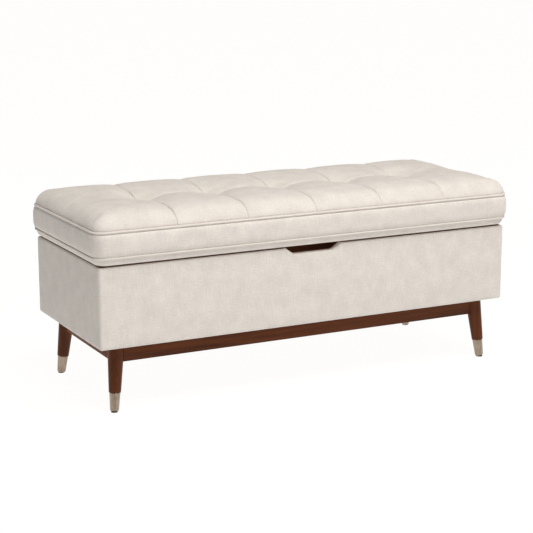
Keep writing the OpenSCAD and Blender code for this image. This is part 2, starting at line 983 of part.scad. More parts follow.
on_side(1, -1) long_rail();  // front_rail
long_rail();  // back_rail
on_side(-1, 1) side_rail();  // left_rail
side_rail();  // right_rail
centre_rail();
corner_blocks();
on_side(-1, -1) leg();  // leg_front_left
on_side(1, -1) leg();  // leg_front_right
on_side(-1, 1) leg();  // leg_back_left
on_side(1, 1) leg();  // leg_back_right
on_side(-1, -1) ferrule();  // ferrule_front_left
on_side(1, -1) ferrule();  // ferrule_front_right
on_side(-1, 1) ferrule();  // ferrule_back_left
on_side(1, 1) ferrule();  // ferrule_back_right
foot_glides();
hanger_bolts();
bolt_nuts();
frame_screws();
front_panel();
back_panel();
color(PLYWOOD) on_side(-1, 1) end_wall();  // left_panel
color(PLYWOOD) end_wall();  // right_panel
bottom_panel();
panel_screws();
front_padding();
back_padding();
color(FOAM) on_side(-1, 1) end_padding();  // left_padding
color(FOAM) end_padding();  // right_padding
box_cover();
storage_lining();
dust_cover();
lid_bumpers();
box_hardware_screws();
lid_board();
seat_foam();
top_batting();
top_cover();
boxing_band();
lip_band();
welt(welt_top_z);  // top_welt
welt(welt_low_z);  // bottom_welt
lid_lining();
tuft_ties();
lid_hardware_screws();
on_side(-1, 1) hinge_box_leaf();  // hinge_box_leaf_left
hinge_box_leaf();  // hinge_box_leaf_right
on_side(-1, 1) hinge_lid_leaf();  // hinge_lid_leaf_left
hinge_lid_leaf();  // hinge_lid_leaf_right
hinge_pins();
stay_box_plates();
stay_lid_brackets();
stay_box_rivets();
stay_lid_rivets();
on_side(-1, 1) stay_arm();  // stay_arm_left
stay_arm();  // stay_arm_right
on_side(-1, 1) stay_link();  // stay_link_left
stay_link();  // stay_link_right
on_side(-1, 1) knee_rivet();  // knee_rivet_left
knee_rivet();  // knee_rivet_right
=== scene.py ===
import math
import bmesh
import bpy
import numpy as np
from mathutils import Euler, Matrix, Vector, noise


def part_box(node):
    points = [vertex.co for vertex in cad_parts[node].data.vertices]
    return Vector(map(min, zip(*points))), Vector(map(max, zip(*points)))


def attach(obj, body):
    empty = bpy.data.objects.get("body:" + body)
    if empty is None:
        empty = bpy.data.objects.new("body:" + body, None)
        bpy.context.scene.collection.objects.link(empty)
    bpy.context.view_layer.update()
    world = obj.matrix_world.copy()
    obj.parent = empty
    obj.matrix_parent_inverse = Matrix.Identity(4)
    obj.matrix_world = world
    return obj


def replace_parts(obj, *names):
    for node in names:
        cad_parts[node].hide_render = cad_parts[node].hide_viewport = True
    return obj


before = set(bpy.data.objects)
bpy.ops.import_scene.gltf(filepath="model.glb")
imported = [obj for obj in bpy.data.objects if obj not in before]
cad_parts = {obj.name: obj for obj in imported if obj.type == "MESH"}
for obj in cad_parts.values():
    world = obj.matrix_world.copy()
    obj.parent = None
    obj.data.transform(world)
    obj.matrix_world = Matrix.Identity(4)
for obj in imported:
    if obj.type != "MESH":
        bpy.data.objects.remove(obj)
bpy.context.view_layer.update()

# ---------------------------------------------------------------- sizes taken from the frame
welt_lo, welt_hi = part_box("top_welt")
WELT_R = (welt_hi.z - welt_lo.z) / 2
RIM_R = 0.032                                   # corner radius of the lid along the welts
RIM_X = welt_hi.x - WELT_R - RIM_R
RIM_Y = welt_hi.y - WELT_R - RIM_R
TOP_Z = (welt_hi.z + welt_lo.z) / 2
LOW_Z = sum(p.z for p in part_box("bottom_welt")) / 2
BAND_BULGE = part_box("boxing_band")[1].x - RIM_X - RIM_R
LID_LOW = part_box("lip_band")[0].z
LINE_LO, LINE_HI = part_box("lid_lining")
BOARD_LO, BOARD_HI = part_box("lid_board")
COVER_LO, COVER_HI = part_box("box_cover")
FRONT_LO, FRONT_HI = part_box("front_panel")
LEFT_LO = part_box("left_panel")[0]
FLOOR_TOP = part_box("bottom_panel")[1].z
DUST_LO, DUST_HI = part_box("dust_cover")
PANEL_X, PANEL_Y = -LEFT_LO.x, -FRONT_LO.y
WRAP = COVER_HI.x - PANEL_X
CLOTH = LINE_HI.z - LINE_LO.z
WALL = FRONT_HI.y - FRONT_LO.y
BOX_LOW, BOX_TOP = COVER_LO.z, COVER_HI.z
PANEL_LOW, PANEL_TOP = FRONT_LO.z, FRONT_HI.z
TUFTS = [-0.36, -0.18, 0.0, 0.18, 0.36]
MM = 0.001


# ---------------------------------------------------------------- node helpers
class Nodes:
    """A small builder for a procedural material."""

    def __init__(self, name):
        self.mat = bpy.data.materials.new(name)
        self.mat.use_nodes = True
        self.tree = self.mat.node_tree
        self.tree.nodes.clear()
        self.out = self.tree.nodes.new("ShaderNodeOutputMaterial")
        self.shader = self.tree.nodes.new("ShaderNodeBsdfPrincipled")
        self.link(self.shader, "BSDF", self.out, "Surface")

    def new(self, kind, **values):
        node = self.tree.nodes.new(kind)
        for key, value in values.items():
            setattr(node, key, value)
        return node

    def link(self, a, a_name, b, b_name):
        self.tree.links.new(a.outputs[a_name], b.inputs[b_name])

    def put(self, **values):
        for key, value in values.items():
            self.shader.inputs[key.replace("_", " ")].default_value = value

    def coords(self, source, scale=(1, 1, 1), rotation=(0, 0, 0)):
        if source == "Object":
            co = self.new("ShaderNodeTexCoord")
            socket = co.outputs["Object"]
        else:
            co = self.new("ShaderNodeUVMap", uv_map=source)
            socket = co.outputs["UV"]
        mapping = self.new("ShaderNodeMapping")
        mapping.inputs["Scale"].default_value = scale
        mapping.inputs["Rotation"].default_value = rotation
        self.tree.links.new(socket, mapping.inputs["Vector"])
        return mapping

    def noise(self, mapping, scale, detail=3.0, rough=0.55, distortion=0.0):
        tex = self.new("ShaderNodeTexNoise")
        tex.inputs["Scale"].default_value = scale
        tex.inputs["Detail"].default_value = detail
        tex.inputs["Roughness"].default_value = rough
        tex.inputs["Distortion"].default_value = distortion
        self.link(mapping, "Vector", tex, "Vector")
        return tex.outputs["Fac"]

    def wave(self, mapping, scale, direction, distortion=0.0, detail=1.0, detail_scale=1.0):
        tex = self.new("ShaderNodeTexWave", wave_type="BANDS", bands_direction=direction)
        tex.inputs["Scale"].default_value = scale
        tex.inputs["Distortion"].default_value = distortion
        tex.inputs["Detail"].default_value = detail
        tex.inputs["Detail Scale"].default_value = detail_scale
        self.link(mapping, "Vector", tex, "Vector")
        return tex.outputs["Fac"]

    def math(self, operation, a, b=None):
        node = self.new("ShaderNodeMath", operation=operation)
        for i, value in enumerate((a, b)):
            if value is None:
                continue
            if isinstance(value, (int, float)):
                node.inputs[i].default_value = value
            else:
                self.tree.links.new(value, node.inputs[i])
        return node.outputs[0]

    def ramp(self, fac, stops):
        node = self.new("ShaderNodeValToRGB")
        while len(node.color_ramp.elements) < len(stops):
            node.color_ramp.elements.new(0.5)
        for element, (place, colour) in zip(node.color_ramp.elements, stops):
            element.position = place
            element.color = (*colour, 1)
        self.tree.links.new(fac, node.inputs["Fac"])
        return node.outputs["Color"]

    def multiply(self, a, b, fac=1.0):
        node = self.new("ShaderNodeMix", data_type="RGBA", blend_type="MULTIPLY")
        node.inputs["Factor"].default_value = fac
        self.tree.links.new(a, node.inputs[6])
        self.tree.links.new(b, node.inputs[7])
        return node.outputs[2]

    def colour(self, socket):
        self.tree.links.new(socket, self.shader.inputs["Base Color"])

    def roughness(self, fac, low, high):
        node = self.new("ShaderNodeMapRange")
        node.inputs["To Min"].default_value = low
        node.inputs["To Max"].default_value = high
        self.tree.links.new(fac, node.inputs["Value"])
        self.tree.links.new(node.outputs["Result"], self.shader.inputs["Roughness"])

    def bump(self, height, distance, strength=1.0):
        node = self.new("ShaderNodeBump")
        node.inputs["Strength"].default_value = strength
        node.inputs["Distance"].default_value = distance
        self.tree.links.new(height, node.inputs["Height"])
        self.link(node, "Normal", self.shader, "Normal")


def grey(value):
    return (value, value, value)


def linen(name, colour, contrast=1.0, pitch=0.0011, sheen=0.25, source="weave"):
    """Plain woven cloth: crossing yarns, slubs along both, and a soft mottle."""
    m = Nodes(name)
    flat = m.coords(source)
    warp = m.wave(flat, 1 / pitch / 3.3, "X", 0.35, 2.0, 0.6)
    weft = m.wave(flat, 1 / pitch / 3.3, "Y", 0.35, 2.0, 0.6)
    yarns = m.math("ADD", m.math("MULTIPLY", warp, 0.5), m.math("MULTIPLY", weft, 0.5))
    slub_u = m.noise(m.coords(source, (45, 650, 1)), 1.0, 4, 0.6)
    slub_v = m.noise(m.coords(source, (420, 28, 1)), 1.0, 4, 0.65)
    slubs = m.math("MULTIPLY", m.math("ADD", slub_u, slub_v), 0.5)
    mottle = m.noise(flat, 300, 3, 0.65)
    cloud = m.noise(flat, 26, 3, 0.5)
    k = 0.10 * contrast
    tone = m.math("ADD", m.math("MULTIPLY", slubs, 2.2 * k), m.math("MULTIPLY", mottle, 1.6 * k))
    tone = m.math("ADD", tone, m.math("MULTIPLY", cloud, 0.9 * k))
    tone = m.math("ADD", tone, m.math("MULTIPLY", yarns, 0.5 * k))
    tone = m.math("ADD", tone, 1.0 - 2.6 * k)
    base = m.ramp(cloud, [(0.3, [c * 0.975 for c in colour]), (0.7, colour)])
    shade = m.new("ShaderNodeCombineColor")
    for part in ("Red", "Green", "Blue"):
        m.tree.links.new(tone, shade.inputs[part])
    m.colour(m.multiply(base, shade.outputs["Color"]))
    height = m.math("ADD", m.math("MULTIPLY", yarns, 0.7), m.math("MULTIPLY", slubs, 0.9))
    m.bump(height, 0.00035, 0.55)
    m.roughness(slubs, 0.82, 0.98)
    m.put(Sheen_Weight=sheen, Sheen_Roughness=0.55, Specular_IOR_Level=0.25)
    return m.mat


def timber(name, dark, light, axis, coat, rough, pores=1.0):
    """Wood with its grain along one axis: long streaks, fine pores and a satin finish."""
    m = Nodes(name)
    long, across = 1.4, 26.0
    streaky = [across] * 3
    streaky["XYZ".index(axis)] = long
    fine = [420.0] * 3
    fine["XYZ".index(axis)] = 9.0
    streak = m.noise(m.coords("Object", streaky), 1.0, 5, 0.62, 0.9)
    pore = m.noise(m.coords("Object", fine), 1.0, 3, 0.6)
    broad = m.noise(m.coords("Object", [s / 5 for s in streaky]), 1.0, 2, 0.5, 0.4)
    grain = m.math("ADD", m.math("MULTIPLY", streak, 0.62), m.math("MULTIPLY", pore, 0.22 * pores))
    grain = m.math("ADD", grain, m.math("MULTIPLY", broad, 0.2))
    middle = [(a + b) / 2 for a, b in zip(dark, light)]
    m.colour(m.ramp(grain, [(0.33, dark), (0.5, middle), (0.68, light)]))
    m.bump(m.math("ADD", m.math("MULTIPLY", pore, 0.8), m.math("MULTIPLY", streak, 0.3)), 0.0002, 0.35)
    m.roughness(grain, rough + 0.08, rough - 0.08)
    m.put(Coat_Weight=coat, Coat_Roughness=0.22, Specular_IOR_Level=0.12)
    return m.mat


def layered_wood(name):
    """Birch plywood: pale faces with long figure and fine pores."""
    m = Nodes(name)
    figure = m.noise(m.coords("Object", (3, 16, 16)), 1.0, 4, 0.6, 0.8)
    pore = m.noise(m.coords("Object", (30, 500, 500)), 1.0, 3, 0.6)
    grain = m.math("ADD", m.math("MULTIPLY", figure, 0.7), m.math("MULTIPLY", pore, 0.3))
    m.colour(m.ramp(grain, [(0.3, (0.44, 0.30, 0.17)), (0.7, (0.66, 0.50, 0.32))]))
    m.bump(grain, 0.0002, 0.4)
    m.roughness(pore, 0.55, 0.8)
    return m.mat


def metal(name, colour, rough, brush, tint=0.9, strength=0.25):
    """Brushed metal: fine scratches stretched by brush, over patches of changing polish; a low tint darkens the
    streaks into painted reflection bands.
    """
    m = Nodes(name)
    lines = m.noise(m.coords("Object", brush), 1.0, 4, 0.7)
    patch = m.noise(m.coords("Object", (60, 60, 60)), 1.0, 3, 0.6)
    fleck = m.noise(m.coords("Object", (1400, 1400, 1400)), 1.0, 2, 0.5)
    wear_and_reflection_bands = m.math("ADD", m.math("MULTIPLY", lines, 0.6), m.math("MULTIPLY", patch, 0.4))
    m.colour(m.ramp(wear_and_reflection_bands, [(0.3, [c * tint for c in colour]), (0.7, colour)]))
    m.bump(m.math("ADD", lines, m.math("MULTIPLY", fleck, 0.3)), 0.0001, strength)
    m.roughness(wear_and_reflection_bands, rough + 0.09, rough - 0.07)
    m.put(Metallic=1.0)
    return m.mat


def moulded(name, colour, rough, scale):
    """Moulded rubber or nylon: a fine pebbled skin with scuffs."""
    m = Nodes(name)
    co = m.coords("Object")
    pebble = m.noise(co, scale, 3, 0.6)
    scuff = m.noise(co, scale / 12, 4, 0.7)
    m.colour(m.ramp(scuff, [(0.35, colour), (0.75, [c * 1.8 + 0.01 for c in colour])]))
    m.bump(pebble, 0.0002, 0.5)
    m.roughness(scuff, rough, rough + 0.2)
    return m.mat


OATMEAL = (0.765, 0.708, 0.650)
cloth_mat = linen("oatmeal_linen", OATMEAL, 2.2)
welt_mat = linen("oatmeal_welt", [c * 1.02 for c in OATMEAL], 0.7, 0.0009)
lining_mat = linen("brown_lining_cloth", (0.200, 0.078, 0.038), 1.6, 0.0009, 0.12)
black_mat = linen("black_cambric", (0.022, 0.021, 0.020), 2.4, 0.0013, 0.1)
thread_mat = linen("oatmeal_thread", (0.66, 0.59, 0.50), 1.0, 0.0006, 0.2)
dark_thread_mat = linen("brown_thread", (0.085, 0.042, 0.025), 1.0, 0.0006, 0.2)
WALNUT_DARK, WALNUT_LIGHT = (0.025, 0.0066, 0.0016), (0.172, 0.045, 0.0108)
walnut = {a: timber("walnut_along_" + a.lower(), WALNUT_DARK, WALNUT_LIGHT, a, 0.04, 0.42) for a in "XYZ"}
plain_wood_mat = timber("plain_poplar", (0.40, 0.27, 0.15), (0.62, 0.46, 0.29), "X", 0.0, 0.66)
plywood_mat = layered_wood("birch_plywood")
# the ferrule's low tint and upright brush give dark vertical streaks: a real brushed finish, with painted reflection
# bands in its colour
ferrule_mat = metal("champagne_brushed_painted_bands", (0.46, 0.362, 0.280), 0.22, (150, 150, 7), 0.40, 0.3)
steel_mat = metal("plated_steel", (0.60, 0.60, 0.61), 0.36, (300, 300, 300), 0.85, 0.25)
nylon_mat = moulded("nylon_glide", (0.026, 0.024, 0.022), 0.45, 1800)
rubber_mat = moulded("rubber_bumper", (0.020, 0.019, 0.018), 0.6, 2400)


# ---------------------------------------------------------------- CAD nodes that stay, with better materials
def dress(node, material, bevel=0.0006):
    """Gives a CAD node its material, smooth round faces and softened edges."""
    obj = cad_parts[node]
    obj.data.materials.clear()
    obj.data.materials.append(material)
    obj.data.polygons.foreach_set("material_index", [0] * len(obj.data.polygons))
    obj.data.polygons.foreach_set("use_smooth", [True] * len(obj.data.polygons))
    weld = obj.modifiers.new("weld", "WELD")
    weld.merge_threshold = 0.00001
    edge = obj.modifiers.new("edges", "BEVEL")
    edge.width = bevel
    edge.segments = 2
    edge.limit_method = "ANGLE"
    edge.angle_limit = math.radians(28)
    edge.harden_normals = True
    edge.use_clamp_overlap = True


for side in ("front", "back"):
    dress(side + "_rail", walnut["X"], 0.0016)
for side in ("left", "right"):
    dress(side + "_rail", walnut["Y"], 0.0016)
dress("centre_rail", walnut["Y"], 0.0012)
for end in ("front_left", "front_right", "back_left", "back_right"):
    dress("leg_" + end, walnut["Z"], 0.0008)
    dress("ferrule_" + end, ferrule_mat, 0.0005)
dress("corner_blocks", plain_wood_mat, 0.0010)
for side in ("front", "back", "left", "right", "bottom"):
    dress(side + "_panel", plywood_mat, 0.0004)
dress("lid_board", plywood_mat, 0.0004)
dress("foot_glides", nylon_mat, 0.0006)
dress("lid_bumpers", rubber_mat, 0.0004)
for node in (
    "hanger_bolts", "bolt_nuts", "frame_screws", "panel_screws", "box_hardware_screws",
    "lid_hardware_screws", "hinge_box_leaf_left", "hinge_box_leaf_right", "hinge_lid_leaf_left",
    "hinge_lid_leaf_right", "hinge_pins", "stay_box_plates", "stay_lid_brackets",
    "stay_box_rivets", "stay_lid_rivets", "stay_arm_left", "stay_arm_right",
    "stay_link_left", "stay_link_right", "knee_rivet_left", "knee_rivet_right",
):
    dress(node, steel_mat, 0.00025)


# ---------------------------------------------------------------- mesh helpers
def piece(name, verts, faces, uvs, material, body, smooth=True):
    """A mesh object with a weave map in metres. uvs has one pair for each face corner."""
    mesh = bpy.data.meshes.new(name)
    mesh.from_pydata([tuple(map(float, v)) for v in verts], [], faces)
    layer = mesh.uv_layers.new(name="weave")
    layer.data.foreach_set("uv", np.asarray(uvs, float).ravel())
    mesh.polygons.foreach_set("use_smooth", [smooth] * len(mesh.polygons))
    mesh.materials.append(material)
    mesh.validate()
    obj = bpy.data.objects.new(name, mesh)
    bpy.context.scene.collection.objects.link(obj)
    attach(obj, body)
    return obj


def side_places(half, step, extra=()):
    """Places along a straight side, about step apart, with the extra ones added."""
    count = max(2, round(2 * half / step))
    places = set(np.round(np.linspace(-half, half, count + 1), 6))
    places |= {round(e, 6) for e in extra if -half < e < half}
    ordered = sorted(places)
    kept = [ordered[0]]
    for p in ordered[1:]:
        if p - kept[-1] > 0.0004:
            kept.append(p)
    return kept


class Loop:
    """Places round a rounded rectangle, anticlockwise from the right front corner's end."""

    def __init__(self, cx, cy, step=0.008, corner=8, extra_x=()):
        self.cx, self.cy = cx, cy
        rows = []
        xs, ys = side_places(cx, step, extra_x), side_places(cy, step)
        for y in ys[:-1]:
            rows.append((cx, y, 0))
        rows += [(cx, cy, a) for a in np.linspace(0, 90, corner + 1)[:-1]]
        for x in xs[::-1][:-1]:
            rows.append((x, cy, 90))
        rows += [(-cx, cy, a) for a in np.linspace(90, 180, corner + 1)[:-1]]
        for y in ys[::-1][:-1]:
            rows.append((-cx, y, 180))
        rows += [(-cx, -cy, a) for a in np.linspace(180, 270, corner + 1)[:-1]]
        for x in xs[:-1]:
            rows.append((x, -cy, 270))
        rows += [(cx, -cy, a) for a in np.linspace(270, 360, corner + 1)[:-1]]
        self.base = np.array([(r[0], r[1]) for r in rows])
        angle = np.radians([r[2] for r in rows])
        self.normal = np.stack([np.cos(angle), np.sin(angle)], 1)
        self.square = self.normal / np.abs(self.normal).max(1)[:, None]
        outer = self.base + self.normal * 0.02
        step_l = np.linalg.norm(np.roll(outer, -1, 0) - outer, axis=1)
        self.along = np.concatenate([[0], np.cumsum(step_l)])

    def __len__(self):
        return len(self.base)

    def place(self, i, u, round_to):
        """The point u outside the corner centres, with corners round up to round_to."""
        if u >= 0:
            return self.base[i] + self.normal[i] * min(u, round_to) + self.square[i] * max(u - round_to, 0)
        e = min(-u, 0.0015)
        c = np.array([self.cx, self.cy])
        return self.base[i] * (c + u - e) / c + self.normal[i] * e


def sweep(name, loop, profile, material, body, closed=True, round_to=1.0):
    """Carries profile(i), a list of (u, z), round the loop as quads facing outwards."""
    n = len(loop)
    rings = [profile(i) for i in range(n)]
    m = len(rings[0])
    verts, rise = [], []
    for i, ring in enumerate(rings):
        length = 0.0
        for j, (u, z) in enumerate(ring):
            x, y = loop.place(i, u, round_to)
            verts.append((x, y, z))
            if j:
                length += math.dist(ring[j - 1], ring[j])
            rise.append(length)
        rise.append(length + math.dist(ring[-1], ring[0]))
    faces, uvs = [], []
    for i in range(n):
        a, b = i, (i + 1) % n
        for j in range(m if closed else m - 1):
            k = (j + 1) % m
            faces.append((a * m + j, b * m + j, b * m + k, a * m + k))
            low, high = rise[a * (m + 1) + j], rise[a * (m + 1) + j + 1]
            uvs += [(loop.along[i], low), (loop.along[i + 1], low), (loop.along[i + 1], high), (loop.along[i], high)]
    return piece(name, verts, faces, uvs, material, body)


def arc(cx, cz, r, start, end, steps):
    """Points of an arc in the (u, z) plane, angles in degrees from +u."""
    return [(cx + r * math.cos(math.radians(a)), cz + r * math.sin(math.radians(a)))
            for a in np.linspace(start, end, steps + 1)]


def soft(x, y, z, scale, amount):
    """A smooth signed unevenness of cloth over foam."""
    return amount * noise.noise(Vector((x * scale, y * scale, z * scale)))


def bowed(p, q, sag, steps):
    """Points from p to q on an arc that bulges to the right of the way by sag."""
    p, q = np.array(p, float), np.array(q, float)
    chord = np.linalg.norm(q - p)
    along = (q - p) / chord
    out = np.array([along[1], -along[0]])
    radius = (chord * chord / 4 + sag * sag) / (2 * sag)
    centre = (p + q) / 2 - out * (radius - sag)
    half = math.asin(chord / 2 / radius)
    return [tuple(centre + radius * (math.cos(a) * out + math.sin(a) * along))
            for a in np.linspace(-half, half, steps + 1)]


# ---------------------------------------------------------------- the lid's cushion
# Millimetres: how deep the valley to a tuft is across and along the lid at each distance from it, and
# the rounded edge from the corner centres out to the welt as (distance out, height).
ACROSS = np.array([
    (0, 21.5), (7, 21.3), (14, 20.2), (24, 19.0), (33, 17.2), (46, 11.6), (59, 7.6), (73, 4.6),
    (99, 1.3), (127, 0), (999, 0),
], float)
ALONG = np.array([
    (0, 21.5), (6, 21.0), (14, 19.2), (23, 16.4), (33, 12.2), (43, 8.4), (55, 5.6), (68, 4.0),
    (90, 3.2), (130, 2.4), (999, 2.4),
], float)
EDGE = [(0, 461.4), (7, 459.2), (13, 456.0), (18.0, 452.2), (22.4, 447.8), (26.2, 442.9), (28.9, 437.8),
        (30.2, 433.6), (30.2, 430.2), (28.4, 427.0)]
TOP_MM = 467.3                                  # height of the crown's middle before the pillows rise
FALL = 0.0575                                   # width of the crown's fall to its edge, inside the corner centres
PILLOW = 3.2 * MM                               # how far a pillow's middle rises over its seams
PILLOW_X, PILLOW_Y = (0.062, 2.4), (0.05, 2.2)  # reach and power of that rise, away from a seam
END_VALLEY = 0.15                               # share of the lengthwise valley left in the end pillows
SEAM_PAST, SEAM_FADE = 0.012, 0.055             # the lengthwise seam past the last tuft, and its running out
FOLDS, FOLD_REACH = 9, 0.07                     # gathers round a tuft
FOLD_DEEP, FOLD_AT, FOLD_WIDE = 0.0011, 0.013, 0.016
CROSS_CREASE = (0.0040, 0.0012)                 # depth and half width of a pressed crease
LONG_CREASE = (0.0018, 0.0013)
CREASE_MOST = 0.0042
FINE_X, FINE_Y = (0.0011, 0.0094), (0.0012, 0.0090)     # finest and widest spacing of the grid
SIM_FRAMES, SIM_PRESSURE, SIM_STIFFNESS = 20, 2.6, 18
MOVE_SHARE, MOVE_MOST = 0.5, 0.0024             # how much of the simulated move is kept


def table_value(table, t):
    """A height in millimetres from one of the tables, t metres from the seam."""
    return float(np.interp(abs(t) * 1000, table[:, 0], table[:, 1]))


def smooth_line(points, spacing):
    """A Catmull-Rom line through the points, sampled about every spacing along it."""
    p = np.array(points, float)
    p = np.vstack([2 * p[0] - p[1], p, 2 * p[-1] - p[-2]])
    line = []
    for i in range(1, len(p) - 2):
        for t in np.linspace(0, 1, 12, endpoint=False):
            line.append(0.5 * (2 * p[i] + (p[i + 1] - p[i - 1]) * t
                               + (2 * p[i - 1] - 5 * p[i] + 4 * p[i + 1] - p[i + 2]) * t * t
                               + (3 * p[i] - p[i - 1] - 3 * p[i + 1] + p[i + 2]) * t ** 3))
    line.append(p[-2])
    line = np.array(line)
    length = np.concatenate([[0], np.cumsum(np.linalg.norm(np.diff(line, axis=0), axis=1))])
    count = round(length[-1] / spacing)
    at = np.linspace(0, length[-1], count + 1)
    return np.stack([np.interp(at, length, line[:, 0]), np.interp(at, length, line[:, 1])], 1), at


edge_line, edge_at = smooth_line(EDGE, 5.0)
edge_line, edge_at = edge_line * MM, edge_at * MM
EDGE_L = edge_at[-1]


def graded(length, finest, coarsest, growth=1.5):
    """Steps from a seam outwards, fine at the seam and wider away from it."""
    steps, step = [0.0], finest
    while steps[-1] < length:
        steps.append(steps[-1] + step)
        step = min(step * growth, coarsest)
    scale = length / steps[-1]
    return [s * scale for s in steps]


def grid_places(seams, half, finest, coarsest):
    """Grid lines over [-half, half], fine at each seam."""
    places = set()
    for a, b in zip([-half] + seams, seams + [half]):
        if a == -half:
            places |= {b - s for s in graded(b - a, finest, coarsest)}
        elif b == half:
            places |= {a + s for s in graded(b - a, finest, coarsest)}
        else:
            middle = (a + b) / 2
            places |= {a + s for s in graded(middle - a, finest, coarsest)}
            places |= {b - s for s in graded(b - middle, finest, coarsest)}
    kept = []
    for p in sorted(places):
        if not kept or p - kept[-1] > 1e-5:
            kept.append(p)
    return kept


def with_edges(inner, half):
    """Adds the rows of the rounded edge beyond both ends, as (place, distance into the edge)."""
    rows = [(-half, e) for e in edge_at[:0:-1]]
    rows += [(p, 0.0) for p in inner]
    rows += [(half, e) for e in edge_at[1:]]
    return rows


def crown_height(x, y):
    """Height inside the corner centres before the pillows rise: the fall to the edge and the tufts' valleys."""
    fall = math.hypot(max(0, abs(x) - RIM_X + FALL), max(0, abs(y) - RIM_Y + FALL)) / FALL
    top = TOP_MM - (TOP_MM - EDGE[0][1]) * min(1, fall) ** 2
    to_tuft = min(abs(x - t) for t in TUFTS)
    valley = table_value(ACROSS, y) * table_value(ALONG, to_tuft) / ACROSS[0][1]
    return (top - valley) * MM


def rise_share(t, reach, power):
    """0 on a seam, rising to 1 at its reach."""
    return 1 - (1 - min(1.0, abs(t) / reach)) ** power


def long_seam(x):
    """The seam along the lid runs out a little way past the last tufts: 1 on it, 0 beyond."""
    t = min(1.0, max(0.0, (abs(x) - TUFTS[-1] - SEAM_PAST) / SEAM_FADE))
    return 1 - t * t * (3 - 2 * t)


def pillow_rise(x, y, edge):
    """How far a pillow stands over its seams, as a share of its full rise."""
    to_seam = min(abs(x - t) for t in TUFTS)
    valley = (END_VALLEY + (1 - END_VALLEY) * long_seam(x)) * (1 - rise_share(y, *PILLOW_Y))
    share = rise_share(to_seam, *PILLOW_X) * (1 - valley)
    return share * max(0.0, 1 - edge / EDGE_L) ** 0.9


def gathers(x, y):
    """Small folds that run out from each tuft."""
    drop = 0.0
    for k, tuft in enumerate(TUFTS):
        r = math.hypot(x - tuft, y)
        if 0.002 < r < FOLD_REACH:
            a = math.atan2(y, x - tuft)
            fold = 0.5 + 0.5 * math.cos(FOLDS * a + 0.7 * k + 1.1 * math.sin(2 * a + k))
            drop += FOLD_DEEP * fold * math.exp(-((r - FOLD_AT) / FOLD_WIDE) ** 2)
    return drop


def edge_spot(edge):
    """Distance out and height on the rounded edge, edge metres along it."""
    return np.array([np.interp(edge, edge_at, edge_line[:, 0]), np.interp(edge, edge_at, edge_line[:, 1])])


def crown_grid():
    """The crown's grid: its x and y places, its points, and which of them stay put in the simulation."""
    xs = with_edges(grid_places(TUFTS, RIM_X, *FINE_X), RIM_X)
    ys = with_edges(grid_places([0.0], RIM_Y, *FINE_Y), RIM_Y)
    verts, pins = np.zeros((len(xs), len(ys), 3)), np.zeros((len(xs), len(ys)), bool)
    for i, (x, ex) in enumerate(xs):
        for j, (y, ey) in enumerate(ys):
            edge = max(ex, ey)
            sx, sy = math.copysign(1, x), math.copysign(1, y)
            if edge == 0:
                z = crown_height(x, y)
                out = np.array([0, 0, 1.0])
                spot = np.array([x, y, z])
            else:
                u, z = edge_spot(edge)
                du, dz = edge_spot(edge + 1e-4) - edge_spot(edge - 1e-4)
                if ex and ey:
                    turn = 45 * ey / ex if ex >= ey else 90 - 45 * ex / ey
                    n = np.array([sx * math.cos(math.radians(turn)), sy * math.sin(math.radians(turn))])
                else:
                    n = np.array([sx, 0.0]) if ex else np.array([0.0, sy])
                slope = np.array([-dz, du])
                slope /= np.linalg.norm(slope)
                out = np.array([n[0] * slope[0], n[1] * slope[0], slope[1]])
                lean = 1 - edge / EDGE_L
                drop = (EDGE[0][1] * MM - crown_height(x, y)) * lean
                spot = np.array([x + n[0] * u, y + n[1] * u, z - drop])
            spot = spot + out * PILLOW * pillow_rise(x, y, edge)
            spot[2] -= gathers(x, y)
            verts[i, j] = spot
            on_cross = min(abs(x - t) for t in TUFTS) < 1e-6 and not ex
            on_long = abs(y) < 1e-6 and long_seam(x) > 0.5
            rim = edge >= EDGE_L - 1e-9
            pins[i, j] = on_cross or on_long or rim
    return xs, ys, verts, pins


def simulate(obj, pinned, frames, pressure, stiffness):
    """Blender's cloth under pressure, with the pinned points held; returns the points it settles at."""
    group = obj.vertex_groups.new(name="held")
    group.add([int(i) for i in np.nonzero(pinned)[0]], 1.0, "REPLACE")
    cloth = obj.modifiers.new("Cloth", "CLOTH")
    s = cloth.settings
    s.quality = 6
    s.mass = 0.35
    s.air_damping = 4.0
    s.tension_stiffness = stiffness
    s.compression_stiffness = stiffness
    s.shear_stiffness = stiffness / 3
    s.bending_stiffness = 0.6
    s.tension_damping = 12
    s.compression_damping = 12
    s.shear_damping = 8
    s.shrink_min = -0.012
    s.vertex_group_mass = "held"
    s.pin_stiffness = 1.0
    s.use_pressure = True
    s.uniform_pressure_force = pressure
    s.effector_weights.gravity = 0.0
    cloth.collision_settings.use_collision = False
    cloth.collision_settings.use_self_collision = False
    cloth.point_cache.frame_start = 1
    cloth.point_cache.frame_end = frames
    scene = bpy.context.scene
    for f in range(1, frames + 1):
        scene.frame_set(f)
    evaluated = obj.evaluated_get(bpy.context.evaluated_depsgraph_get())
    settled = np.zeros(len(evaluated.data.vertices) * 3)
    evaluated.data.vertices.foreach_get("co", settled)
    obj.modifiers.remove(cloth)
    obj.vertex_groups.remove(group)
    scene.frame_set(1)
    return settled.reshape(-1, 3)


xs, ys, crown, crown_pins = crown_grid()
nx, ny = len(xs), len(ys)
ids = np.arange(nx * ny).reshape(nx, ny)
verts = crown.reshape(-1, 3).tolist()
pins = crown_pins.ravel().tolist()
flat_x = [x + math.copysign(e, x) if e else x for x, e in xs]
flat_y = [y + math.copysign(e, y) if e else y for y, e in ys]
faces, uvs = [], []
for i in range(nx - 1):
    for j in range(ny - 1):
        faces.append((ids[i, j], ids[i + 1, j], ids[i + 1, j + 1], ids[i, j + 1]))
        uvs += [(flat_x[a], flat_y[b]) for a, b in ((i, j), (i + 1, j), (i + 1, j + 1), (i, j + 1))]

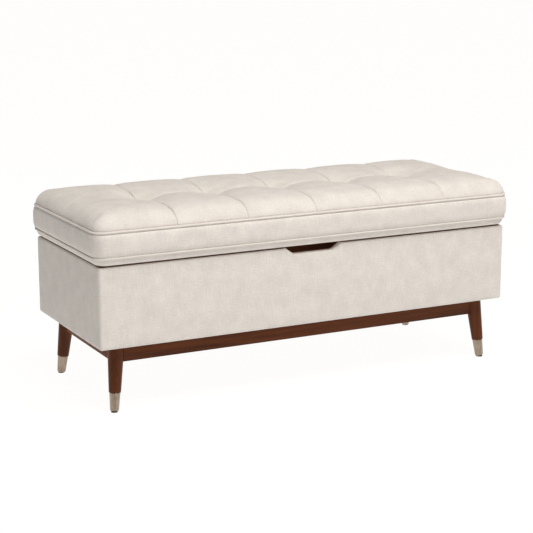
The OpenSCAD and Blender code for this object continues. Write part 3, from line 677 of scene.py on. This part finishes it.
# the rim of the crown, anticlockwise, carries the band, the lip and the underside
rim = [(nx - 1, j) for j in range(ny - 1)] + [(i, ny - 1) for i in range(nx - 1, 0, -1)]
rim += [(0, j) for j in range(ny - 1, 0, -1)] + [(i, 0) for i in range(nx - 1)]
rim_ids = [int(ids[i, j]) for i, j in rim]
rim_base = np.array([(xs[i][0], ys[j][0]) for i, j in rim])
rim_xy = np.array([verts[k][:2] for k in rim_ids])
rim_n = (rim_xy - rim_base) / np.linalg.norm(rim_xy - rim_base, axis=1)[:, None]
outer = rim_base + rim_n * RIM_R
rim_along = np.concatenate([[0], np.cumsum(np.linalg.norm(np.roll(outer, -1, 0) - outer, axis=1))])
LIP_U, UNDER_U, BOARD_U = 0.0185, -0.008, 0.0160  # the lip's turn under, the cloth's end, the board's edge
BOARD_GAP = 0.0003
GROOVE, GROOVE_WIDE, BAND_IN = 0.0030, 0.035, 0.0006    # the band's dip beside a welt, and its start inside it
LIP_SAG = 0.0045
under = [(UNDER_U, LID_LOW), (UNDER_U, BOARD_LO.z), (BOARD_U + BOARD_GAP, BOARD_LO.z),
         (BOARD_U + BOARD_GAP, BOARD_HI.z + BOARD_GAP)]
band_rows = []
for t in (0.03, 0.07, 0.13, 0.2, 0.29, 0.39, 0.5, 0.61, 0.71, 0.8, 0.87, 0.93, 0.97, 1.0):
    z = EDGE[-1][1] * MM + (LOW_Z + 0.0004 - EDGE[-1][1] * MM) * t
    groove = GROOVE * math.exp(-min(t, 1 - t) / GROOVE_WIDE)
    band_rows.append((RIM_R - BAND_IN - groove + (BAND_BULGE + BAND_IN) * (1 - abs(2 * t - 1) ** 4), z))
lip_rows = bowed((LIP_U, LID_LOW), band_rows[-1], LIP_SAG, 6)[::-1][1:]
rows_down = [(u, z, "band") for u, z in band_rows] + [(u, z, "lip") for u, z in lip_rows]
rows_down += [(u, z, "under") for u, z in under]


def rim_place(k, u):
    """The point u outside the corner centres on the k-th line down from the rim, or inside them."""
    if u >= 0:
        return rim_base[k] + rim_n[k] * u
    c = np.array([RIM_X, RIM_Y])
    e = 0.0015
    return rim_base[k] * (c + u - e) / c + rim_n[k] * e


# rows of faces from the rim down the band and the lip and in under the foam; only the crown is simulated
above, depth = rim_ids, 0.0
above_uz = (EDGE[-1][0] * MM, EDGE[-1][1] * MM)
count = len(rim_ids)
kinds = ["crown"] * (nx * ny)
for u, z, kind in rows_down:
    here = []
    for k in range(count):
        x, y = rim_place(k, u)
        here.append(len(verts))
        verts.append([x, y, z])
        pins.append(True)
        kinds.append(kind)
    step = math.dist((u, z), above_uz)
    for k in range(count):
        l = (k + 1) % count
        faces.append((here[k], here[l], above[l], above[k]))
        uvs += [(rim_along[k], -depth - step), (rim_along[k + 1], -depth - step),
                (rim_along[k + 1], -depth), (rim_along[k], -depth)]
    above, above_uz, depth = here, (u, z), depth + step

start = np.array(verts)
kinds = np.array(kinds)
final = start.copy()
trial = piece("trial", verts, faces, uvs, cloth_mat, "lid")
settled = simulate(trial, np.array(pins), SIM_FRAMES, SIM_PRESSURE, SIM_STIFFNESS)
bpy.data.objects.remove(trial)
moved = settled - start
moved[np.array(pins)] = 0
size = np.linalg.norm(moved, axis=1)
calm = np.zeros(len(start))
calm[:nx * ny] = [(1 - max(ex, ey) / EDGE_L) * (0.4 if ex and ey else 1) for x, ex in xs for y, ey in ys]
# the move fades to nothing at the welt and is held back in the corners
moved *= (calm * np.minimum(MOVE_SHARE, MOVE_MOST / np.maximum(size, 1e-9)))[:, None]
final = start + moved
print("cloth moved", size.max(), "mean", size[kinds == "crown"].mean(), "crest", final[:, 2].max())

# the creases of the sewn channels, pressed in after the simulation
for i, (x, ex) in enumerate(xs):
    for j, (y, ey) in enumerate(ys):
        k = ids[i, j]
        edge = max(ex, ey)
        if edge >= EDGE_L - 1e-6:
            continue
        across = min(abs(x - t) for t in TUFTS) if not ex else 1
        along = abs(y) if not ey else 1
        press = CROSS_CREASE[0] * math.exp(-(across / CROSS_CREASE[1]) ** 2)
        press += LONG_CREASE[0] * long_seam(x) * math.exp(-(along / LONG_CREASE[1]) ** 2)
        normal = np.array([0, 0, 1.0])
        if edge:
            n = (final[k][:2] - np.array([x, y]))
            n = n / max(np.linalg.norm(n), 1e-9)
            lean = min(1.0, edge / EDGE_L * 1.4)
            normal = np.array([n[0] * lean, n[1] * lean, 1 - lean])
            normal /= np.linalg.norm(normal)
        final[k] -= normal * min(press, CREASE_MOST) * (1 if edge < EDGE_L * 0.85 else 0.5)
# a slight unevenness of the cloth between the pinned lines
for k, (x, y, z) in enumerate(final.copy()):
    if kinds[k] == "crown" and not pins[k]:
        final[k][2] += soft(x, y, z, 22, 0.0005)

# one many-sided face closes the form under the foam and is cut into triangles below
cap_face = tuple(reversed(above))
faces.append(cap_face)
uvs += [tuple(verts[k][:2]) for k in cap_face]
cushion = piece("lid_cushion", final, faces, uvs, cloth_mat, "lid")
cushion.data.materials.append(lining_mat)
for face in cushion.data.polygons:
    face.material_index = int(all(kinds[k] == "under" for k in face.vertices))
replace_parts(cushion, "top_cover", "top_batting", "seat_foam", "boxing_band", "lip_band")
cap_mesh = bmesh.new()
cap_mesh.from_mesh(cushion.data)
bmesh.ops.triangulate(cap_mesh, faces=[f for f in cap_mesh.faces if len(f.verts) > 4])
cap_mesh.to_mesh(cushion.data)
cap_mesh.free()
fine = cushion.modifiers.new("fine", "SUBSURF")
fine.levels = fine.render_levels = 1


# ---------------------------------------------------------------- the welts
def welt(name, level, node):
    """A corded seam round the lid at one level."""
    loop = Loop(RIM_X, RIM_Y, 0.005, 14)

    def ring(i):
        x, y = loop.place(i, RIM_R, 1)
        r = WELT_R * (1 + 0.05 * noise.noise(Vector((x * 90, y * 90, level * 50))))
        return [(RIM_R + r * math.cos(a), level + r * math.sin(a)) for a in np.linspace(0, 2 * math.pi, 13)[:-1]]
    obj = sweep(name, loop, ring, welt_mat, "lid")
    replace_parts(obj, node)
    return obj


welt("welt_upper", TOP_Z, "top_welt")
welt("welt_lower", LOW_Z, "bottom_welt")


# ---------------------------------------------------------------- the box's upholstery
NOTCH_TOP, NOTCH_LOW, NOTCH_DEEP = 0.0764, 0.0544, 0.0158
THIN = 0.0011                                   # thickness of the lining's turned edge
FLANGE_U = -0.0138                              # how far the cover is turned in under the box
PUFF, UNEVEN = 0.0014, 0.0009                   # the padding's bulge between the edges, and its unevenness
EDGE_U, NOTCH_U = 0.0010, -0.0100               # where the lining's turned edge ends, and where it does in the notch


def smooth_min(a, b, k):
    """The smaller of a and b, with the corner between them rounded over k."""
    h = max(k - abs(a - b), 0) / k
    return min(a, b) - h * h * k / 4


def notch(x):
    """How far the top edge of the front drops at x: a slanted left end and a softer right one."""
    low_soft, top_soft = (0.0018, 0.0012) if x < 0 else (0.0075, 0.0030)
    slope = (NOTCH_TOP - abs(x)) * NOTCH_DEEP / (NOTCH_TOP - NOTCH_LOW)
    return -smooth_min(-smooth_min(NOTCH_DEEP, slope, low_soft), 0, top_soft)


notch_xs = [s * x for s in (-1, 1) for x in np.arange(0.048, 0.0851, 0.0012)]
box_loop = Loop(PANEL_X, PANEL_Y, 0.009, 6, notch_xs)


def drop_at(loop, i, z):
    """The notch's drop for a point of the front at height z."""
    if loop.normal[i][1] > -0.999:
        return 0.0
    t = min(1.0, max(0.0, (z - (BOX_TOP - 0.045)) / 0.036))
    return notch(loop.base[i][0]) * t * t * (3 - 2 * t)


def in_notch(loop, i):
    """1 where the front's top edge is cut down and the cover itself goes over it, 0 elsewhere."""
    if loop.normal[i][1] > -0.999:
        return 0.0
    return min(1.0, max(0.0, (0.0800 - abs(loop.base[i][0])) / 0.003))


def mixed(a, b, share):
    """A pair between a and b."""
    return tuple(p + (q - p) * share for p, q in zip(a, b))


def box_ring(i):
    """Section of the box's cover at one place: under the box, up the face, over the top and down the panel."""
    x, y = box_loop.place(i, WRAP, 1)
    n = box_loop.normal[i]
    flat = max(abs(n[0]), abs(n[1])) > 0.999
    half = (PANEL_X if abs(n[1]) > 0.5 else PANEL_Y)
    place = (box_loop.base[i][0] if abs(n[1]) > 0.5 else box_loop.base[i][1]) / half
    ring = [(FLANGE_U, BOX_LOW + 0.0001), (-0.006, BOX_LOW)]
    ring += arc(0, BOX_LOW + WRAP, WRAP, -90, 0, 5)
    low, high = BOX_LOW + WRAP, BOX_TOP - WRAP
    for t in np.linspace(0, 1, 18)[1:-1]:
        z = low + (high - low) * t
        puff = PUFF * (1 - (2 * t - 1) ** 4) * (1 - place ** 8) if flat else 0.0
        puff += soft(x, y, z, 9, UNEVEN) * (1 - (2 * t - 1) ** 6) * (1 if flat else 0.3)
        ring.append((WRAP + puff, z))
    share = in_notch(box_loop, i)
    ring += arc(0, BOX_TOP - WRAP, WRAP, 0, 62, 5)
    ring += [mixed((EDGE_U + 0.0006, BOX_TOP - 0.0006), (-0.0020, BOX_TOP), share),
             mixed((EDGE_U + 0.0003, BOX_TOP - 0.0008), (NOTCH_U + 0.0006, BOX_TOP), share),
             mixed((EDGE_U + 0.0002, PANEL_TOP + 0.0001), (NOTCH_U + 0.0002, PANEL_TOP + 0.0001), share),
             (0.0001, PANEL_TOP + 0.0001)]
    ring += [(0.0001, z) for z in np.linspace(PANEL_TOP - 0.012, PANEL_LOW + 0.012, 6)]
    ring += [(0.0001, PANEL_LOW - 0.0001), (FLANGE_U, PANEL_LOW - 0.0001)]
    return [(u, z - drop_at(box_loop, i, z)) for u, z in ring]


cover = sweep("box_upholstery", box_loop, box_ring, cloth_mat, "box")
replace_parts(cover, "box_cover", "front_padding", "back_padding", "left_padding", "right_padding")


# ---------------------------------------------------------------- linings
BAY_X, BAY_Y = PANEL_X - WALL - CLOTH, PANEL_Y - WALL - CLOTH
CORNER, ROUND = 0.003, 0.0022                   # the lining in the bay's corners, and over the walls' top edge
wall_loop = Loop(BAY_X - CORNER, BAY_Y - CORNER, 0.012, 5, notch_xs)
PANEL_U = CORNER + WALL + CLOTH                 # the panels' outer face, measured from the lining's corner centres


def wall_lining_ring(i):
    """Section of the wall lining at one place: over the wall's top, down the bay, and out on its floor."""
    x, y = wall_loop.place(i, CORNER, 1)
    outer_u = PANEL_U + EDGE_U + (NOTCH_U - EDGE_U) * in_notch(wall_loop, i)
    ring = [(outer_u, BOX_TOP - THIN)]
    inner = CORNER + THIN
    ring += [(inner + 0.001, BOX_TOP - THIN), (inner, BOX_TOP - THIN - 0.001)]
    heights = np.linspace(BOX_TOP - 0.012, FLOOR_TOP + 0.012, 7)
    ring += [(inner, z) for z in heights]
    ring += [(inner, FLOOR_TOP + 0.0003), (CORNER - 0.012, FLOOR_TOP + 0.0003), (CORNER - 0.012, FLOOR_TOP + CLOTH)]
    ring += [(CORNER - 0.001, FLOOR_TOP + CLOTH), (CORNER, FLOOR_TOP + CLOTH + 0.001)]
    ring += [(CORNER - abs(soft(x, y, z, 30, 0.0004)), z) for z in heights[::-1]]
    ring += arc(CORNER + ROUND, BOX_TOP - ROUND, ROUND, 180, 90, 3)
    ring += [(outer_u - 0.0005, BOX_TOP), (outer_u, BOX_TOP - 0.0004)]
    return [(u, z - drop_at(wall_loop, i, z)) for u, z in ring]


wall_lining = sweep("lining_walls", wall_loop, wall_lining_ring, lining_mat, "box", round_to=CORNER)
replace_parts(wall_lining, "storage_lining")


def panel_sheet(name, half_x, half_y, low, high, material, body, corner, ripple, up, step=0.012):
    """A flat cloth with rounded corners and a faint ripple on its shown face."""
    bm = bmesh.new()
    layer = bm.loops.layers.uv.new("weave")
    gx, gy = side_places(half_x, step), side_places(half_y, step)

    def spot(x, y):
        ax, ay = abs(x) - half_x + corner, abs(y) - half_y + corner
        if ax > 0 and ay > 0:
            far = max(ax, ay)
            turn = math.radians(45 * ay / ax if ax >= ay else 90 - 45 * ax / ay)
            x = math.copysign(half_x - corner + far * math.cos(turn), x)
            y = math.copysign(half_y - corner + far * math.sin(turn), y)
        return x, y
    sheets = []
    for level, shown in ((low, not up), (high, up)):
        grid = []
        for x in gx:
            column = []
            for y in gy:
                px, py = spot(x, y)
                rim_near = min(half_x - abs(x), half_y - abs(y))
                wave = abs(soft(px, py, 0, 24, ripple)) * min(1, rim_near / 0.02) if shown else 0
                column.append(bm.verts.new((px, py, level + (-wave if up else wave))))
            grid.append(column)
        sheets.append(grid)
    bottom, top = sheets
    for i in range(len(gx) - 1):
        for j in range(len(gy) - 1):
            bm.faces.new((bottom[i][j], bottom[i][j + 1], bottom[i + 1][j + 1], bottom[i + 1][j]))
            bm.faces.new((top[i][j], top[i + 1][j], top[i + 1][j + 1], top[i][j + 1]))
    for i in range(len(gx) - 1):
        bm.faces.new((bottom[i][0], bottom[i + 1][0], top[i + 1][0], top[i][0]))
        bm.faces.new((bottom[i + 1][-1], bottom[i][-1], top[i][-1], top[i + 1][-1]))
    for j in range(len(gy) - 1):
        bm.faces.new((bottom[0][j + 1], bottom[0][j], top[0][j], top[0][j + 1]))
        bm.faces.new((bottom[-1][j], bottom[-1][j + 1], top[-1][j + 1], top[-1][j]))
    for face in bm.faces:
        face.smooth = abs(face.normal.z) > 0.5
        for corner_loop in face.loops:
            corner_loop[layer].uv = corner_loop.vert.co.xy
    mesh = bpy.data.meshes.new(name)
    bm.to_mesh(mesh)
    bm.free()
    mesh.materials.append(material)
    obj = bpy.data.objects.new(name, mesh)
    bpy.context.scene.collection.objects.link(obj)
    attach(obj, body)
    return obj


FLOOR_IN, ON_FLOOR = 0.0120, 0.0003             # the floor cloth inside the bay, and over the bottom panel
floor_cloth = panel_sheet("lining_floor", BAY_X - FLOOR_IN, BAY_Y - FLOOR_IN, FLOOR_TOP + ON_FLOOR, FLOOR_TOP + CLOTH,
                          lining_mat, "box", 0.003, 0.0005, True)
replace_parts(floor_cloth, "storage_lining")

lid_cloth = panel_sheet("lid_lining_cloth", LINE_HI.x - 0.0002, LINE_HI.y - 0.0002, LINE_LO.z, LINE_HI.z - 0.0002,
                        lining_mat, "lid", 0.002, 0.0004, False)
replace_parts(lid_cloth, "lid_lining")

dust_cloth = panel_sheet("dust_cover_cloth", DUST_HI.x - 0.0003, DUST_HI.y - 0.0003, DUST_LO.z + 0.0002,
                         DUST_HI.z - 0.0002, black_mat, "box", 0.002, 0.0004, False)
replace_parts(dust_cloth, "dust_cover")


# ---------------------------------------------------------------- twine, staples and stitches
def bars(name, rows, material, body, sides=6):
    """Short round-ended rods between pairs of points, as one mesh."""
    verts, faces, uvs = [], [], []
    for p, q, r in rows:
        p, q = Vector(p), Vector(q)
        along = (q - p).normalized()
        side = along.orthogonal().normalized()
        other = along.cross(side)
        rings = []
        for t, share in ((0, 0.45), (r * 0.6, 1), ((q - p).length - r * 0.6, 1), ((q - p).length, 0.45)):
            ring = []
            for k in range(sides):
                a = 2 * math.pi * k / sides
                ring.append(len(verts))
                verts.append(p + along * t + (side * math.cos(a) + other * math.sin(a)) * r * share)
            rings.append(ring)
        for a, b in zip(rings, rings[1:]):
            for k in range(sides):
                l = (k + 1) % sides
                faces.append((a[k], a[l], b[l], b[k]))
                uvs += [(k * r, 0), (l * r, 0), (l * r, r * 4), (k * r, r * 4)]
        faces.append(tuple(reversed(rings[0])))
        faces.append(tuple(rings[-1]))
        uvs += [(0, 0)] * sides * 2
    return piece(name, verts, faces, uvs, material, body)


def twine():
    """The twisted ties that pull the tufts down to the board."""
    verts, faces, uvs, sides = [], [], [], 10
    for tuft in TUFTS:
        top = (TOP_MM - ACROSS[0][1]) * MM - 0.006
        rings = []
        for k, z in enumerate(np.linspace(BOARD_LO.z + 0.0005, top, 40)):
            ring = []
            for a in np.linspace(0, 2 * math.pi, sides + 1)[:-1]:
                r = 0.0010 * (0.62 + 0.38 * abs(math.cos(a - 0.55 * k)))
                ring.append(len(verts))
                verts.append((tuft + r * math.cos(a), r * math.sin(a), z))
            rings.append(ring)
        for a, b in zip(rings, rings[1:]):
            for k in range(sides):
                l = (k + 1) % sides
                faces.append((a[k], a[l], b[l], b[k]))
                uvs += [(k * MM, 0), (k * MM + MM, 0), (k * MM + MM, 2 * MM), (k * MM, 2 * MM)]
        faces += [tuple(reversed(rings[0])), tuple(rings[-1])]
        uvs += [(0, 0)] * sides * 2
    return piece("tuft_twine", verts, faces, uvs, thread_mat, "lid")


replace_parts(twine(), "tuft_ties")


def border(half_x, half_y, spacing, length, z, r, skip=None):
    """Rods in a row just inside the edges of a flat cloth."""
    rows = []
    for half, other, turn in ((half_x, half_y, False), (half_y, half_x, True)):
        count = round(2 * half / spacing)
        for k in range(count):
            a = -half + (k + 0.5) * 2 * half / count
            for s in (-1, 1):
                p, q = (a - length / 2, s * other, z), (a + length / 2, s * other, z)
                if turn:
                    p, q = (p[1], p[0], z), (q[1], q[0], z)
                if skip is None or not skip(*p[:2]):
                    rows.append((p, q, r))
    return rows


staples = border(DUST_HI.x - 0.006, DUST_HI.y - 0.006, 0.045, 0.010, DUST_LO.z + 0.0001, 0.0005)
bars("dust_cover_staples", staples, steel_mat, "box")
stitches = border(LINE_HI.x - 0.010, LINE_HI.y - 0.010, 0.0065, 0.0042, LINE_LO.z + 0.0001, 0.00035)
bars("lid_lining_stitches", stitches, dark_thread_mat, "lid", 5)

# ---------------------------------------------------------------- floor, lights and camera
CAMERA_PLACE, CAMERA_DOWN, CAMERA_TURN, LENS_MM = (-1.7329, -3.3176, 1.0982), 12.70, -27.283, 102.97
WORLD_COLOUR, WORLD_STRENGTH = (1.0, 0.985, 0.965, 1), 0.15
FLOOR_GLOW, FLOOR_HALF = (1, 0.99, 0.977, 1), 30
BAY_FILL_W, BAY_FILL_PLACE = 0.33, (0, -0.02, 0.29)     # lets the closed box's lining read brown in the notch


def stage_floor():
    """A pale floor that glows evenly and is clear from below."""
    bm = bmesh.new()
    bmesh.ops.create_grid(bm, x_segments=24, y_segments=24, size=FLOOR_HALF)
    mesh = bpy.data.meshes.new("studio_floor")
    bm.to_mesh(mesh)
    bm.free()
    m = Nodes("studio_floor")
    tone = m.noise(m.coords("Object"), 0.6, 2, 0.5)
    m.colour(m.ramp(tone, [(0.2, grey(0.05)), (0.8, grey(0.06))]))
    m.put(Roughness=0.9, Specular_IOR_Level=0.1, Emission_Color=FLOOR_GLOW, Emission_Strength=0.98)
    side = m.new("ShaderNodeNewGeometry")
    clear = m.new("ShaderNodeBsdfTransparent")
    pick = m.new("ShaderNodeMixShader")
    m.link(side, "Backfacing", pick, "Fac")
    m.tree.links.new(m.shader.outputs["BSDF"], pick.inputs[1])
    m.tree.links.new(clear.outputs["BSDF"], pick.inputs[2])
    m.link(pick, "Shader", m.out, "Surface")
    mesh.materials.append(m.mat)
    obj = bpy.data.objects.new("studio_floor", mesh)
    bpy.context.scene.collection.objects.link(obj)
    return obj


stage_floor()

world = bpy.data.worlds.new("studio")
world.use_nodes = True
world.node_tree.nodes["Background"].inputs["Color"].default_value = WORLD_COLOUR
world.node_tree.nodes["Background"].inputs["Strength"].default_value = WORLD_STRENGTH
bpy.context.scene.world = world


def softbox(name, place, aim, width, height, power, colour=(1, 1, 1)):
    """A rectangular lamp that faces its aim."""
    data = bpy.data.lights.new(name, "AREA")
    data.shape = "RECTANGLE"
    data.size, data.size_y = width, height
    data.energy = power
    data.color = colour
    lamp = bpy.data.objects.new(name, data)
    lamp.location = place
    lamp.rotation_euler = (Vector(aim) - Vector(place)).to_track_quat("-Z", "Y").to_euler()
    bpy.context.scene.collection.objects.link(lamp)


softbox("key_softbox", (0.3, -1.8, 4.25), (0, 0, 0.3), 2.6, 2.0, 180, (1.0, 0.985, 0.96))
softbox("strip_front", (-0.6, -3.4, 0.9), (0, 0, 0.2), 0.12, 1.4, 6)

glow = bpy.data.lights.new("bay_fill", "POINT")
glow.energy, glow.shadow_soft_size, glow.color = BAY_FILL_W, 0.03, (1.0, 0.93, 0.86)
glow_lamp = bpy.data.objects.new("bay_fill", glow)
glow_lamp.location = BAY_FILL_PLACE
glow_lamp.visible_camera = False
bpy.context.scene.collection.objects.link(glow_lamp)

camera = bpy.data.objects.new("camera", bpy.data.cameras.new("camera"))
camera.data.sensor_width = 36
camera.data.lens = LENS_MM
camera.data.clip_end = 100
camera.location = CAMERA_PLACE
camera.rotation_euler = Euler((math.radians(90 - CAMERA_DOWN), 0, math.radians(CAMERA_TURN)))
bpy.context.scene.collection.objects.link(camera)
bpy.context.scene.camera = camera
bpy.context.scene.view_settings.view_transform = "Standard"
bpy.context.scene.view_settings.look = "None"
